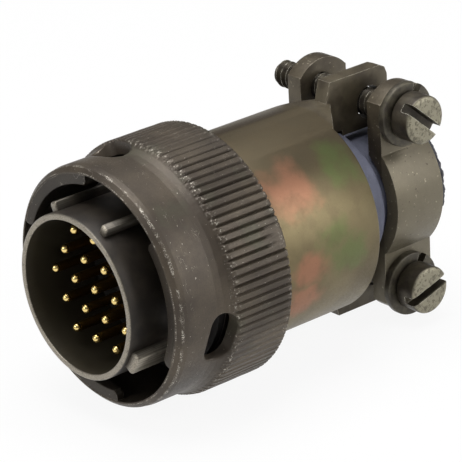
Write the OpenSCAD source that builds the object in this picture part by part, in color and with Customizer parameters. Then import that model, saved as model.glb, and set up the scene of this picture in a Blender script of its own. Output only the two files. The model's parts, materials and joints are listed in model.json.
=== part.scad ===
// Bayonet-coupled circular plug: nineteen pin contacts, knurled coupling ring,
// backshell with two posts, and a two-saddle cable clamp.
// The connector's axis is Y: the mating face looks to -Y and the cable leaves
// to +Y. The origin is the centre of the barrel's front rim. +Z is up and the
// two clamp screws lie along X, heads to +X. Angles turn from +X towards +Z.

/* [Plug shell] */
// Outside radius of the mating barrel
barrel_r = 9.04; // [8.9:0.02:9.2]
// Wall of the mating barrel
barrel_wall = 0.7; // [0.6:0.02:0.74]
// Length of the mating barrel, from its rim to the shell's shoulder
barrel_len = 11.0; // [10.6:0.1:11.4]
// Height of the polarising keys above the barrel
key_rise = 1.0; // [0.8:0.02:1.1]
// Setback of the keys' front ends from the rim
key_setback = 0.75; // [0.4:0.05:1.5]
// Width of the master key
master_key_w = 2.5; // [2:0.1:3]
// Width of the four minor keys
minor_key_w = 0.95; // [0.7:0.05:1.3]
// Angle of the master key
key_clock = -33; // [-40:1:-25]
// Length of the shell's rear thread that the backshell screws onto
thread_len = 6.2; // [5.8:0.1:6.6]

/* [Contacts] */
// Distance between neighbouring contacts
pin_pitch = 3.3; // [3.2:0.02:3.34]
// Radius of a contact's mating pin
pin_r = 0.508; // [0.4:0.01:0.6]
// Depth of the pin tips behind the rim
pin_depth = 2.28; // [1.8:0.02:3]
// Depth of the insulator's front face behind the rim
face_depth = 8.8; // [8.2:0.1:9.4]
// Angle of the contact rows
pin_clock = -4.3; // [-8:0.1:0]

/* [Coupling ring] */
// Room between the barrel and the bayonet lugs, for the receptacle's barrel
lug_gap = 2.21; // [2.1:0.01:2.3]
// Depth of the bayonet lugs, from their crests to the chamber's wall
lug_depth = 1.15; // [1.05:0.01:1.2]
// Wall of the ring round its bayonet chamber
ring_wall = 0.82; // [0.7:0.02:1]
// Rise of the knurled band above the ring's smooth body
knurl_rise = 0.83; // [0.65:0.02:1]
// Setback of the ring's mouth from the rim
mouth_setback = 2.95; // [2.6:0.05:3.4]
// Axial length of the whole ring
ring_len = 14.75; // [14.4:0.05:15.1]
// Axial length of the knurled band
knurl_len = 7.7; // [7.2:0.1:8]
// Number of flutes in the knurl
flutes = 94; // [72:1:96]
// Depth of a flute
flute_depth = 0.3; // [0.2:0.02:0.4]
// Width of a flute at the top of the ridges
flute_w = 0.38; // [0.3:0.02:0.5]
// Arc taken up by one bayonet lug
lug_arc = 66; // [56:1:72]
// Number of lugs and of sight windows
starts = 3; // [3:1:3]
// Angle of the first lug's middle
lug_clock = 6.5; // [0:0.5:12]
// Angle of the first sight window's middle
window_clock = -15; // [-20:0.5:-10]

/* [Backshell] */
// Wall of the backshell outside the shell's journal
backshell_wall = 1.5; // [1.3:0.02:1.7]
// Axial length of the backshell's round body
backshell_len = 14.45; // [14:0.05:15.5]
// Rise of the two posts above the backshell's round body
post_rise = 2.26; // [1.9:0.02:2.6]
// Length of the posts behind the round body
post_len = 11.6; // [11.2:0.1:12.4]
// Thickness of the posts
post_t = 1.8; // [1.4:0.1:2.2]

/* [Cable clamp] */
// Distance of each clamp screw in from the top of its post
screw_inset = 3.8; // [3.6:0.05:4]
// Distance from the backshell's round body back to the saddles
saddle_setback = 5.7; // [5.5:0.05:6]
// Radius of the clamp screws over the thread
screw_r = 1.55; // [1.4:0.02:1.7]
// Length of the clamp screws under the head
screw_len = 20.6; // [20:0.1:22]
// Axial width of a saddle
saddle_w = 6.9; // [6.5:0.1:7.3]
// Outside radius of a saddle's arch
arch_r = 8.5; // [8.3:0.05:8.7]
// Thickness of a saddle's arch
arch_t = 1.7; // [1.4:0.05:1.8]
// Thickness of a saddle's ears
ear_t = 2.1; // [1.8:0.05:2.3]
// Gap between the post and the plain saddle's ears
plain_gap = 2.95; // [2.8:0.05:3.4]
// Gap between the post and the threaded saddle's ears
threaded_gap = 5.9; // [5.6:0.05:6.4]

/* [Cable bushing] */
// Radius of the bushing's bore, which the cable passes through
cable_r = 4.4; // [3.5:0.1:4.8]
// Radius of the bushing's neck, which fills the backshell's rear opening
neck_r = 7.75; // [7.6:0.05:7.85]
// Length of the neck behind the backshell's round body
neck_len = 4.6; // [4.2:0.1:5]

/* [Hidden] */
$fn = 96;
eps = 0.01;
olive = [0.40, 0.38, 0.32];
dark_olive = [0.30, 0.28, 0.24];
gold = [0.83, 0.66, 0.27];

// Clearances
slip = 0.03;
press_gap = 0.02;
running_gap = 0.08;
seat_gap = 0.25;

// Contact pattern: a full hexagon of nineteen places
rows = 2;
pin_places = [
    for (j = [-rows : rows]) for (i = [-rows : rows])
        if (abs(i + j) <= rows) [i, j]
];
pin_names = [for (k = [0 : len(pin_places) - 1]) str("contact_pin_", k < 9 ? "0" : "", k + 1)];

// Radii, from the barrel outwards
barrel_bore_r = barrel_r - barrel_wall;
key_r = barrel_r + key_rise;
journal_r = barrel_r + 1.0;
lug_r = barrel_r + lug_gap;
chamber_r = lug_r + lug_depth;
ring_r = chamber_r + ring_wall;
knurl_r = ring_r + knurl_rise;
backshell_r = journal_r + backshell_wall;
post_top = backshell_r + post_rise;
screw_z = post_top - screw_inset;

// Radii of what sits inside
shoulder_r = lug_r - 0.15;
thread_r = journal_r - 0.3;
clip_r = journal_r + 0.8;
groove_r = journal_r - 0.45;
insulator_r = barrel_bore_r - slip;
seat_bore_r = barrel_bore_r + 0.55;
grommet_r = seat_bore_r - press_gap;
cavity_r = thread_r - 0.35;
neck_bore_r = neck_r + 0.1;
grip_r = arch_r - arch_t - 0.55;
lip_r = grip_r + 1.35;

// Stations along the axis, from the front
mouth_y = mouth_setback;
ring_end_y = mouth_y + ring_len;
knurl_y = ring_end_y - knurl_len;
flare_len = 2.1;
seal_t = 0.8;
shoulder_t = 1.2;
shoulder_y = barrel_len;
spring_y = shoulder_y + shoulder_t;
spring_t = 0.9;
thrust_t = 0.45;
flange_y = spring_y + spring_t + thrust_t + slip;
clip_y = ring_end_y + slip;
clip_t = 0.8;
backshell_y = clip_y + seat_gap;
backshell_end_y = backshell_y + backshell_len;
shell_end_y = backshell_y + thread_len;
insulator_step_y = shoulder_y + 1.5;
insulator_end_y = shell_end_y - 3.4;
grommet_end_y = shell_end_y + 1.6;
rear_wall_t = 1.6;
bush_head_t = 2.4;
ferrule_end_y = backshell_end_y - rear_wall_t - bush_head_t;
bush_neck_y = backshell_end_y + neck_len;
post_end_y = backshell_end_y + post_len;
saddle_y = backshell_end_y + saddle_setback;
saddle_end_y = saddle_y + saddle_w;
screw_y = saddle_y + saddle_w / 2 - 0.3;
bush_end_y = saddle_end_y + 1.3;

// Clamp stations along X
ear_in_x = post_t / 2 + plain_gap;
ear_out_x = ear_in_x + ear_t;
arch_drop = 4.1;
plain_arch_x = ear_in_x - arch_drop;
threaded_ear_x = -(post_t / 2 + threaded_gap);
threaded_arch_x = threaded_ear_x + arch_drop;
washer_t = 1.1;
washer_r = 3.6;
head_x = ear_out_x + washer_t;
head_h = 2.6;
head_r = 2.7;
slot_w = 1.05;
slot_depth = 1.35;
hole_r = screw_r + 0.32;
ear_top = post_top - 0.55;
ear_corner = ear_top - 1.55;

// Stand a shape drawn along +Z on the connector's axis, at station y
module on_axis(y = 0) {
    translate([0, y, 0]) rotate([-90, 0, 0]) children();
}

// Turn a shape about the connector's axis, from +X towards +Z
module at_angle(a) {
    rotate([0, -a, 0]) children();
}

// Lay a shape drawn along +Z onto the clamp screw's line, pointing to +X
module along_x(x, y, z) {
    translate([x, y, z]) rotate([0, 90, 0]) children();
}

// A plain round tube on the connector's axis
module tube(r_out, r_in, y0, y1) {
    on_axis(y0) difference() {
        cylinder(r = r_out, h = y1 - y0);
        translate([0, 0, -1]) cylinder(r = r_in, h = y1 - y0 + 2);
    }
}

// A flat pie slice that reaches past radius r
module slice(arc, r) {
    far = r / cos(arc / 4);
    polygon([
        [0, 0],
        [far * cos(arc / 2), -far * sin(arc / 2)],
        [far * cos(arc / 4), -far * sin(arc / 4)],
        [far, 0],
        [far * cos(arc / 4), far * sin(arc / 4)],
        [far * cos(arc / 2), far * sin(arc / 2)]
    ]);
}

// Move to the place of contact k, looking down the axis from the front
function pin_xz(k) =
    let (p = pin_places[k], u = pin_pitch * (p[0] + p[1] / 2), v = pin_pitch * p[1] * sin(60))
    [u * cos(pin_clock) - v * sin(pin_clock), u * sin(pin_clock) + v * cos(pin_clock)];

module at_pin(k) {
    xz = pin_xz(k);
    translate([xz[0], 0, xz[1]]) children();
}

// ---- Shell and insert ----

minor_keys = [95, 145, 220, 255];

// One polarising key, as a rib from its setback to just short of the seal
module key(a, w) {
    y1 = shoulder_y - seal_t - slip;
    at_angle(a)
        translate([barrel_bore_r + 0.3, key_setback, -w / 2])
            cube([key_r - barrel_bore_r - 0.3, y1 - key_setback, w]);
}

module plug_shell() {
    color(olive) {
        difference() {
            union() {
                on_axis() rotate_extrude() polygon([
                    [barrel_bore_r, 0.15], [barrel_bore_r + 0.15, 0],
                    [barrel_r - 0.15, 0], [barrel_r, 0.15],
                    [barrel_r, shoulder_y], [shoulder_r, shoulder_y],
                    [shoulder_r, spring_y], [journal_r, spring_y],
                    [journal_r, clip_y + clip_t + seat_gap], [thread_r, clip_y + clip_t + 0.5],
                    [thread_r, shell_end_y - 0.4], [thread_r - 0.4, shell_end_y],
                    [seat_bore_r, shell_end_y], [seat_bore_r, insulator_step_y],
                    [barrel_bore_r, insulator_step_y]
                ]);
                intersection() {
                    union() {
                        key(key_clock, master_key_w);
                        for (a = minor_keys) key(key_clock + a, minor_key_w);
                    }
                    tube(key_r, barrel_bore_r + 0.35, 0, shoulder_y);
                }
            }
            // Groove that holds the retaining clip
            tube(clip_r, groove_r, clip_y, clip_y + clip_t + slip);
        }
    }
}

// Flat gasket against the shoulder, which the receptacle's rim meets
module front_seal() {
    color([0.16, 0.15, 0.14])
        tube(shoulder_r - 0.1, barrel_r + slip, shoulder_y - seal_t, shoulder_y);
}

// Hard insert that carries the contacts, trapped by its flange
module insulator() {
    color([0.09, 0.09, 0.08]) difference() {
        on_axis() rotate_extrude() polygon([
            [0, face_depth], [insulator_r - 0.3, face_depth], [insulator_r, face_depth + 0.3],
            [insulator_r, insulator_step_y + slip], [grommet_r, insulator_step_y + slip],
            [grommet_r, insulator_end_y], [0, insulator_end_y]
        ]);
        for (k = [0 : len(pin_places) - 1]) at_pin(k) {
            on_axis(face_depth - 1) cylinder(r = shank_r + slip, h = collar_y - face_depth + 1, $fn = 32);
            on_axis(collar_y - eps)
                cylinder(r = collar_r + slip, h = insulator_end_y - collar_y + 1, $fn = 32);
        }
    }
}

// Radii of a contact behind its mating pin, and of the wire in it
shank_r = pin_r + 0.2;
collar_r = pin_r + 0.42;
well_r = pin_r + 0.08;
crimp_r = well_r + 0.2;
wire_r = 0.55;

// Contact stations
shank_y = face_depth + 0.05;
collar_y = insulator_step_y + 1.2;
collar_t = 1.0;
well_depth = 4.5;
pin_end_y = grommet_end_y - 0.6;

// Gold contact: round-nosed pin, shank, collar, and a rear barrel with its wire well
module contact_pin(k) {
    nose_y = pin_depth + pin_r;
    color(gold) at_pin(k) difference() {
        union() {
            translate([0, nose_y, 0]) sphere(r = pin_r, $fn = 32);
            on_axis(nose_y) cylinder(r = pin_r, h = shank_y - nose_y + 0.5, $fn = 32);
            on_axis(shank_y) cylinder(r = shank_r, h = collar_y - shank_y + 0.5, $fn = 32);
            on_axis(collar_y + slip) cylinder(r = collar_r, h = collar_t, $fn = 32);
            on_axis(collar_y + slip) cylinder(r = crimp_r, h = pin_end_y - collar_y, $fn = 32);
        }
        on_axis(pin_end_y - well_depth) cylinder(r = well_r, h = well_depth + 1, $fn = 32);
    }
}

// Soft rear insert, open around each contact's barrel and wire
module grommet() {
    grommet_len = grommet_end_y - insulator_end_y;
    color([0.22, 0.20, 0.19]) difference() {
        on_axis(insulator_end_y) cylinder(r = grommet_r, h = grommet_len);
        for (k = [0 : len(pin_places) - 1]) at_pin(k) on_axis(insulator_end_y - 1) {
            cylinder(r = crimp_r + slip, h = pin_end_y - insulator_end_y + 1 + slip, $fn = 32);
            cylinder(r = wire_r, h = grommet_len + 2, $fn = 32);
        }
    }
}

// Follower ring between the grommet and the bushing's head
module ferrule() {
    color([0.62, 0.60, 0.55]) on_axis(grommet_end_y) rotate_extrude() polygon([
        [grommet_r - 1.6, 0], [grommet_r, 0], [grommet_r, ferrule_end_y - grommet_end_y],
        [grommet_r - 0.7, ferrule_end_y - grommet_end_y]
    ]);
}

// Flat wave spring that pushes the coupling ring back, three waves round
module wave_spring() {
    n = 72;
    wire = 0.3;
    r0 = journal_r + 0.25;
    r1 = shoulder_r - 0.05;
    rise = (spring_t - wire) / 2;
    function wave(k) = rise * (1 + sin(3 * 360 * k / n));
    function spring_point(k, r, y) = [r * cos(360 * k / n), y + wave(k), r * sin(360 * k / n)];
    points = [
        for (k = [0 : n - 1]) for (c = [[r0, 0], [r1, 0], [r1, wire], [r0, wire]])
            spring_point(k, c[0], c[1])
    ];
    faces = [
        for (k = [0 : n - 1]) for (c = [0 : 3])
            let (m = (k + 1) % n, d = (c + 1) % 4)
                each [[k * 4 + c, m * 4 + c, m * 4 + d], [k * 4 + c, m * 4 + d, k * 4 + d]]
    ];
    color([0.70, 0.70, 0.68])
        translate([0, spring_y, 0]) polyhedron(points = points, faces = faces, convexity = 6);
}

// Thrust washer between the wave spring and the ring's inner flange
module thrust_washer() {
    color([0.62, 0.61, 0.58])
        tube(shoulder_r, journal_r + slip, spring_y + spring_t, spring_y + spring_t + thrust_t);
}

// ---- Coupling ring ----

// The knurl's flutes: narrow V grooves between broad ridges
module flutes_2d() {
    rim_r = knurl_r + 0.02;
    half = atan(flute_w / 2 / knurl_r);
    difference() {
        circle(r = knurl_r + 1);
        polygon([
            for (k = [0 : flutes - 1]) let (a = 360 * k / flutes) each [
                rim_r * [cos(a - half), sin(a - half)],
                (knurl_r - flute_depth) * [cos(a), sin(a)],
                rim_r * [cos(a + half), sin(a + half)]
            ]
        ]);
    }
}

// Bayonet lugs: arcs at the mouth whose hidden faces climb like a screw, so
// that the receptacle's three studs are drawn in as the ring is turned
lug_setback = 0.06;
lug_shallow = 0.9;
lug_deep = 3.6;

module lug(a) {
    climb = (lug_deep - lug_shallow) / (2 * lug_r * sin(lug_arc / 2));
    at_angle(a) difference() {
        on_axis(mouth_y + lug_setback) linear_extrude(height = lug_deep + 1.5) difference() {
            intersection() {
                circle(r = chamber_r + 0.2);
                slice(lug_arc, chamber_r + 2);
            }
            circle(r = lug_r);
        }
        // The climbing face
        translate([0, mouth_y + (lug_shallow + lug_deep) / 2, 0])
            rotate([atan(climb), 0, 0])
                translate([-2 * ring_r, 0, -2 * ring_r])
                    cube([4 * ring_r, 4 * ring_r, 4 * ring_r]);
    }
}

// Kidney-shaped window through which a locked stud is seen
window_lobe_r = 1.55;
window_half = 1.3;
window_skew = 0.22;
window_y = mouth_y + 5.6;

module sight_window(a) {
    tilt = atan(window_skew / window_half);
    half = window_half / cos(tilt);
    at_angle(a) translate([chamber_r - 1, window_y, 0]) rotate([0, 90, 0])
        rotate([0, 0, -tilt]) linear_extrude(height = 5) {
            translate([-half, 0]) circle(r = window_lobe_r, $fn = 48);
            translate([half, 0]) circle(r = window_lobe_r, $fn = 48);
            translate([-half, -window_lobe_r]) square([2 * half, 2 * window_lobe_r]);
        }
}

module coupling_ring() {
    mouth_chamfer = 0.48;
    flare_y = knurl_y - flare_len;
    color(dark_olive) difference() {
        union() {
            on_axis() rotate_extrude($fn = 144) polygon([
                [chamber_r, mouth_y], [ring_r - mouth_chamfer - 0.12, mouth_y],
                [ring_r - 0.12, mouth_y + mouth_chamfer], [ring_r, mouth_y + 1.2],
                [ring_r, flare_y], [ring_r + 0.12, flare_y + 0.9],
                [ring_r + 0.36, flare_y + 1.6], [knurl_r - 0.12, knurl_y - 0.1],
                [knurl_r, knurl_y + 0.3], [knurl_r, ring_end_y - 0.35],
                [knurl_r - 0.35, ring_end_y], [journal_r + slip, ring_end_y],
                [journal_r + slip, flange_y], [chamber_r - 0.6, flange_y],
                [chamber_r, flange_y - 0.6]
            ]);
            for (k = [0 : starts - 1]) lug(lug_clock + 360 * k / starts);
        }
        for (k = [0 : starts - 1]) sight_window(window_clock + 360 * k / starts);
        on_axis(knurl_y - 0.25) linear_extrude(height = knurl_len + 1) flutes_2d();
    }
}

// Split ring in the shell's groove that keeps the coupling ring on
module retaining_clip() {
    gap = 2.4;
    color([0.66, 0.65, 0.62]) difference() {
        tube(clip_r, groove_r + slip, clip_y + slip, clip_y + clip_t);
        translate([-gap / 2, clip_y - 1, 0]) cube([gap, 3, clip_r + 1]);
    }
}

// ---- Backshell ----

post_foot_y = backshell_end_y + 2.4;
post_foot_w = 3.3;
post_step = 0.65;

// Side view of one post, in the plane through the axis
module post_side() {
    tip = 1.2;
    step_y = bush_neck_y + 0.1;
    polygon([
        [backshell_end_y - rear_wall_t, neck_bore_r], [step_y, neck_bore_r],
        [step_y, neck_bore_r - post_step], [post_end_y, neck_bore_r - post_step],
        [post_end_y, post_top - tip], [post_end_y - 0.35, post_top - 0.35],
        [post_end_y - tip, post_top], [post_foot_y + 0.7, post_top],
        [post_foot_y, backshell_r - 0.25], [backshell_end_y - rear_wall_t, backshell_r - 0.6]
    ]);
}

// Stand a side view, drawn as distance along the axis and height, upright
module upright(w) {
    translate([-w / 2, 0, 0]) rotate([90, 0, 90]) linear_extrude(height = w) children();
}

// The shoulder at a post's root: the body's wall carried back and narrowed
module post_root() {
    intersection() {
        tube(backshell_r, neck_bore_r, backshell_end_y - rear_wall_t, post_foot_y + 0.7);
        translate([0, 0, neck_r / 2]) linear_extrude(height = backshell_r) polygon([
            [-4.7, backshell_end_y - 1], [4.7, backshell_end_y - 1],
            [4.7, backshell_end_y], [post_foot_w / 2, post_foot_y],
            [post_t / 2, post_foot_y + 0.7], [-post_t / 2, post_foot_y + 0.7],
            [-post_foot_w / 2, post_foot_y], [-4.7, backshell_end_y]
        ]);
    }
}

module post() {
    upright(post_t) post_side();
    post_root();
}

module backshell() {
    rear_edge = 0.3;
    color([0.47, 0.42, 0.31]) difference() {
        union() {
            on_axis() rotate_extrude() polygon([
                [clip_r + 0.15, backshell_y], [backshell_r - 0.25, backshell_y],
                [backshell_r, backshell_y + 0.25], [backshell_r, backshell_end_y - rear_edge],
                [backshell_r - 0.3 * rear_edge, backshell_end_y - 0.3 * rear_edge],
                [backshell_r - rear_edge, backshell_end_y],
                [neck_bore_r, backshell_end_y], [neck_bore_r, backshell_end_y - rear_wall_t],
                [cavity_r, backshell_end_y - rear_wall_t], [cavity_r, shell_end_y + 0.6],
                [thread_r + slip, shell_end_y + 0.2], [thread_r + slip, clip_y + clip_t + 0.5],
                [clip_r + 0.15, clip_y + clip_t + 0.3]
            ]);
            post();
            mirror([0, 0, 1]) post();
        }
        for (s = [-1, 1])
            along_x(-post_t, screw_y, s * screw_z) cylinder(r = hole_r, h = 2 * post_t, $fn = 64);
    }
}

// Rubber sleeve gripped by the clamp: a head inside the backshell, a neck, a
// thinner grip and a lip behind the saddles
module cable_bushing() {
    head_y = backshell_end_y - rear_wall_t - bush_head_t;
    lip_y = saddle_end_y + seat_gap;
    color([0.33, 0.34, 0.38]) on_axis() rotate_extrude() polygon([
        [cable_r + 0.6, head_y], [cavity_r - slip, head_y],
        [cavity_r - slip, head_y + bush_head_t], [neck_r, head_y + bush_head_t],
        [neck_r, bush_neck_y - 0.5], [neck_r - 0.5, bush_neck_y], [grip_r, bush_neck_y],
        [grip_r, lip_y], [lip_r, lip_y], [lip_r + 0.1, lip_y + 0.5],
        [lip_r - 0.3, bush_end_y], [cable_r + 0.4, bush_end_y],
        [cable_r, bush_end_y - 0.4], [cable_r, head_y + 0.6]
    ]);
}

// ---- Cable clamp ----

// A saddle drawn about its own arch: ears at distance arch_drop, facing +X
module saddle_body(ear_hole_r) {
    difference() {
        on_axis(saddle_y) linear_extrude(height = saddle_w) difference() {
            union() {
                intersection() {
                    circle(r = arch_r);
                    translate([arch_drop, -arch_r]) square([arch_r, 2 * arch_r]);
                }
                translate([arch_drop, -ear_top]) square([ear_t, 2 * ear_top]);
            }
            circle(r = arch_r - arch_t);
        }
        // Round ends of the ears
        difference() {
            translate([0, saddle_y - 1, -2 * ear_top]) cube([arch_r, saddle_w + 2, 4 * ear_top]);
            ear_outline();
        }
        for (s = [-1, 1])
            along_x(0, screw_y, s * screw_z) cylinder(r = ear_hole_r, h = arch_r, $fn = 64);
    }
}

// The ears' outline seen along the screws, as one solid block
module ear_outline() {
    crown = 4.4;
    mid_y = saddle_y + saddle_w / 2;
    intersection() {
        translate([-1, saddle_y - 0.5, -ear_top]) cube([arch_r + 2, saddle_w + 1, 2 * ear_top]);
        union() {
            translate([-1, saddle_y - 0.5, -ear_corner])
                cube([arch_r + 2, saddle_w + 1, 2 * ear_corner]);
            for (s = [-1, 1])
                along_x(-1, mid_y, s * (ear_top - crown)) cylinder(r = crown, h = arch_r + 2, $fn = 96);
        }
    }
}

// Saddle under the screw heads, with plain holes
module saddle_plain() {
    color(olive) translate([plain_arch_x, 0, 0]) saddle_body(screw_r + running_gap);
}

// Saddle that the screws draw in, with threaded holes
module saddle_threaded() {
    color(olive) translate([threaded_arch_x, 0, 0])
        mirror([1, 0, 0]) saddle_body(screw_r + 0.04);
}

// Cheese-head screw lying along X, its head to +X
module clamp_screw(z, slot_a) {
    shank = screw_len - slip;
    tip = 0.4;
    color([0.45, 0.43, 0.36]) difference() {
        along_x(head_x + slip - screw_len, screw_y, z) rotate_extrude($fn = 64) polygon([
            [0, 0], [screw_r - tip, 0], [screw_r, tip], [screw_r, screw_len],
            [head_r, screw_len], [head_r, screw_len + head_h - 0.3],
            [head_r - 0.15, screw_len + head_h - 0.09],
            [head_r - 0.4, screw_len + head_h], [0, screw_len + head_h]
        ]);
        translate([head_x + slip + head_h - slot_depth, screw_y, z])
            rotate([slot_a, 0, 0]) translate([0, -head_r - 1, -slot_w / 2])
                cube([slot_depth + 1, 2 * head_r + 2, slot_w]);
    }
}

module clamp_screw_upper() {
    clamp_screw(screw_z, -41);
}

module clamp_screw_lower() {
    clamp_screw(-screw_z, 16);
}

// Split spring washer: a flat ring cut across on a slant
module lock_washer(z, a) {
    color(dark_olive) difference() {
        along_x(ear_out_x, screw_y, z) difference() {
            cylinder(r = washer_r, h = washer_t, $fn = 72);
            translate([0, 0, -1]) cylinder(r = screw_r + running_gap, h = washer_t + 2, $fn = 48);
        }
        translate([ear_out_x + washer_t / 2, screw_y, z]) rotate([a, 0, 0])
            rotate([0, 0, 30]) translate([-2, 0.5, -0.25]) cube([4, washer_r + 1, 0.5]);
    }
}

module lock_washer_upper() {
    lock_washer(screw_z, 60);
}

module lock_washer_lower() {
    lock_washer(-screw_z, -70);
}

plug_shell();
front_seal();
insulator();
grommet();
ferrule();
for (k = [0 : len(pin_places) - 1])
    contact_pin(k);
wave_spring();
thrust_washer();
coupling_ring();
retaining_clip();
backshell();
cable_bushing();
saddle_plain();
saddle_threaded();
clamp_screw_upper();
clamp_screw_lower();
lock_washer_upper();
lock_washer_lower();
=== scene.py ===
import bpy
import bmesh
import json
import math
import random
import numpy as np
from mathutils import Matrix, Vector, noise


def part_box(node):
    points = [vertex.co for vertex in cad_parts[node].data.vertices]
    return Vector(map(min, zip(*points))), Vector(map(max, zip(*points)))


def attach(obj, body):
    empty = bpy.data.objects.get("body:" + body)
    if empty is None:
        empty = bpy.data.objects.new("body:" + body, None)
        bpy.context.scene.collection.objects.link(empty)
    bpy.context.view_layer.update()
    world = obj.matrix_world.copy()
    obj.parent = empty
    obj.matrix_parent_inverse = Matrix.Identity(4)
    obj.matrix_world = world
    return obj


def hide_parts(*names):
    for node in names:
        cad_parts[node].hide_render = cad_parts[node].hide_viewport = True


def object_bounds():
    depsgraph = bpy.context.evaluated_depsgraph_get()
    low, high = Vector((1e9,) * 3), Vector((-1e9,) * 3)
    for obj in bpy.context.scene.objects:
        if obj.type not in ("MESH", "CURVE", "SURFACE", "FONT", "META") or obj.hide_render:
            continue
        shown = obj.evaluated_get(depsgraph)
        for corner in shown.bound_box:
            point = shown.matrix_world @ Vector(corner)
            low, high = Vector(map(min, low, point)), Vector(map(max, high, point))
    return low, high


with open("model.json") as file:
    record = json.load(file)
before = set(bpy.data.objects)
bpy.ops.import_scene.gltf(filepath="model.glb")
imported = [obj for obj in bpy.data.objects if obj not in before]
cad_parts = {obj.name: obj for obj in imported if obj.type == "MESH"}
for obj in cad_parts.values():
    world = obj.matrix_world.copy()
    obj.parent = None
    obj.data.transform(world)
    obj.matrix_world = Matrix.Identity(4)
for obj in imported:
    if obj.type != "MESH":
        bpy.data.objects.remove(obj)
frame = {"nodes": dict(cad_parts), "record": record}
cad_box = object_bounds()
record = frame["record"]
MM = 0.001
TAU = 2 * math.pi


# ---- Sizes in millimetres, read from the frame where it holds them ----


def node_box(name):
    low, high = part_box(name)
    return np.array(low) / MM, np.array(high) / MM


ring_low, ring_high = node_box("coupling_ring")
shell_low, shell_high = node_box("plug_shell")
back_low, back_high = node_box("backshell")
bush_low, bush_high = node_box("cable_bushing")
plain_low, plain_high = node_box("saddle_plain")
grip_low, grip_high = node_box("saddle_threaded")
screw_low, screw_high = node_box("clamp_screw_upper")
washer_low, washer_high = node_box("lock_washer_upper")
pin_low, pin_high = node_box("contact_pin_10")

KNURL_R = ring_high[2]
MOUTH_Y = ring_low[1]
RING_END_Y = ring_high[1]
CHAMBER_R = 12.4
LUG_R = 11.25
RING_R = 13.22
FLANGE_R = 10.07
FLANGE_Y = 13.58
KNURL_Y = RING_END_Y - 7.7
FLUTES = 94
FLUTE_DEPTH = 0.33
FLUTE_PHASE = 0.5
LUG_ARC = 66
LUG_CLOCK = 6.5
WINDOW_CLOCK = -15
BARREL_R = 9.04
BARREL_BORE_R = 8.34
KEY_R = 10.04
SHOULDER_R = 11.1
SHOULDER_Y = 11.0
JOURNAL_R = 10.04
BACK_R = 11.54
BACK_END_Y = 32.43
BACK_Y = back_low[1]
NECK_R = 7.75
POST_T = 1.8
POST_TOP = back_high[2]
POST_END_Y = back_high[1]
SCREW_Y = (screw_low[1] + screw_high[1]) / 2
SCREW_Z = (screw_low[2] + screw_high[2]) / 2
SCREW_R = 1.55
SCREW_LEAD = 0.8
EAR_OUT_X = washer_low[0]
HEAD_X = washer_high[0]
HEAD_R = (screw_high[1] - screw_low[1]) / 2
HEAD_H = 2.6
WASHER_R = (washer_high[1] - washer_low[1]) / 2
PIN_R = 0.508


# ---- Mesh helpers ----


def make_object(name, vertices, faces, smooth=True):
    """A mesh object from vertices in millimetres."""
    mesh = bpy.data.meshes.new(name)
    mesh.from_pydata([tuple(c * MM for c in v) for v in vertices], [], faces)
    mesh.validate()
    obj = bpy.data.objects.new(name, mesh)
    bpy.context.scene.collection.objects.link(obj)
    tidy_normals(obj)
    if smooth:
        mesh.shade_smooth()
    return obj


def tidy_normals(obj):
    bm = bmesh.new()
    bm.from_mesh(obj.data)
    bmesh.ops.recalc_face_normals(bm, faces=bm.faces)
    bm.to_mesh(obj.data)
    bm.free()


def fillet(corners, steps=4):
    """Rounds a closed outline. Each corner is (a, b, radius)."""
    points = []
    count = len(corners)
    for k, (a, b, radius) in enumerate(corners):
        here = np.array([a, b], float)
        before = np.array(corners[k - 1][:2], float)
        after = np.array(corners[(k + 1) % count][:2], float)
        u = before - here
        v = after - here
        lu, lv = np.linalg.norm(u), np.linalg.norm(v)
        u, v = u / lu, v / lv
        turn = math.acos(max(-1, min(1, float(u @ v))))
        if radius <= 0 or abs(math.pi - turn) < 0.02:
            points.append(here)
            continue
        reach = min(radius / math.tan(turn / 2), 0.48 * lu, 0.48 * lv)
        real = reach * math.tan(turn / 2)
        middle = here + (u + v) / np.linalg.norm(u + v) * (real / math.sin(turn / 2))
        start = here + u * reach - middle
        end = here + v * reach - middle
        for s in range(steps + 1):
            w = s / steps
            d = start * math.sin((1 - w) * (math.pi - turn)) + end * math.sin(w * (math.pi - turn))
            points.append(middle + d / math.sin(math.pi - turn))
    return points


def subdivide(points, longest):
    """Adds points to a closed outline's long stretches."""
    out = []
    for k, p in enumerate(points):
        q = points[(k + 1) % len(points)]
        parts = max(1, math.ceil(np.linalg.norm(q - p) / longest))
        out += [p + (q - p) * (s / parts) for s in range(parts)]
    return out


def lathe(name, outline, turns, push=None):
    """Turns a closed outline of (y, r) about the Y axis. push(theta, y, r) gives each point's radius."""
    if isinstance(turns, int):
        turns = [TAU * k / turns for k in range(turns)]
    vertices = []
    for theta in turns:
        c, s = math.cos(theta), math.sin(theta)
        for y, r in outline:
            radius = push(theta, y, r) if push else r
            vertices.append((radius * c, y, radius * s))
    n, m = len(turns), len(outline)
    faces = []
    for k in range(n):
        for j in range(m):
            a, b = k * m + j, k * m + (j + 1) % m
            c, d = ((k + 1) % n) * m + (j + 1) % m, ((k + 1) % n) * m + j
            faces.append((a, b, c, d))
    return make_object(name, vertices, faces)


def loft(name, rings, closed_ends=True, loop=False):
    """Joins rings of points, all of one length."""
    m = len(rings[0])
    vertices = [p for ring in rings for p in ring]
    faces = []
    spans = len(rings) if loop else len(rings) - 1
    for k in range(spans):
        k2 = (k + 1) % len(rings)
        for j in range(m):
            faces.append((k * m + j, k * m + (j + 1) % m, k2 * m + (j + 1) % m, k2 * m + j))
    if closed_ends and not loop:
        faces.append(tuple(range(m)))
        faces.append(tuple((len(rings) - 1) * m + j for j in range(m)))
    return make_object(name, vertices, faces)


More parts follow.
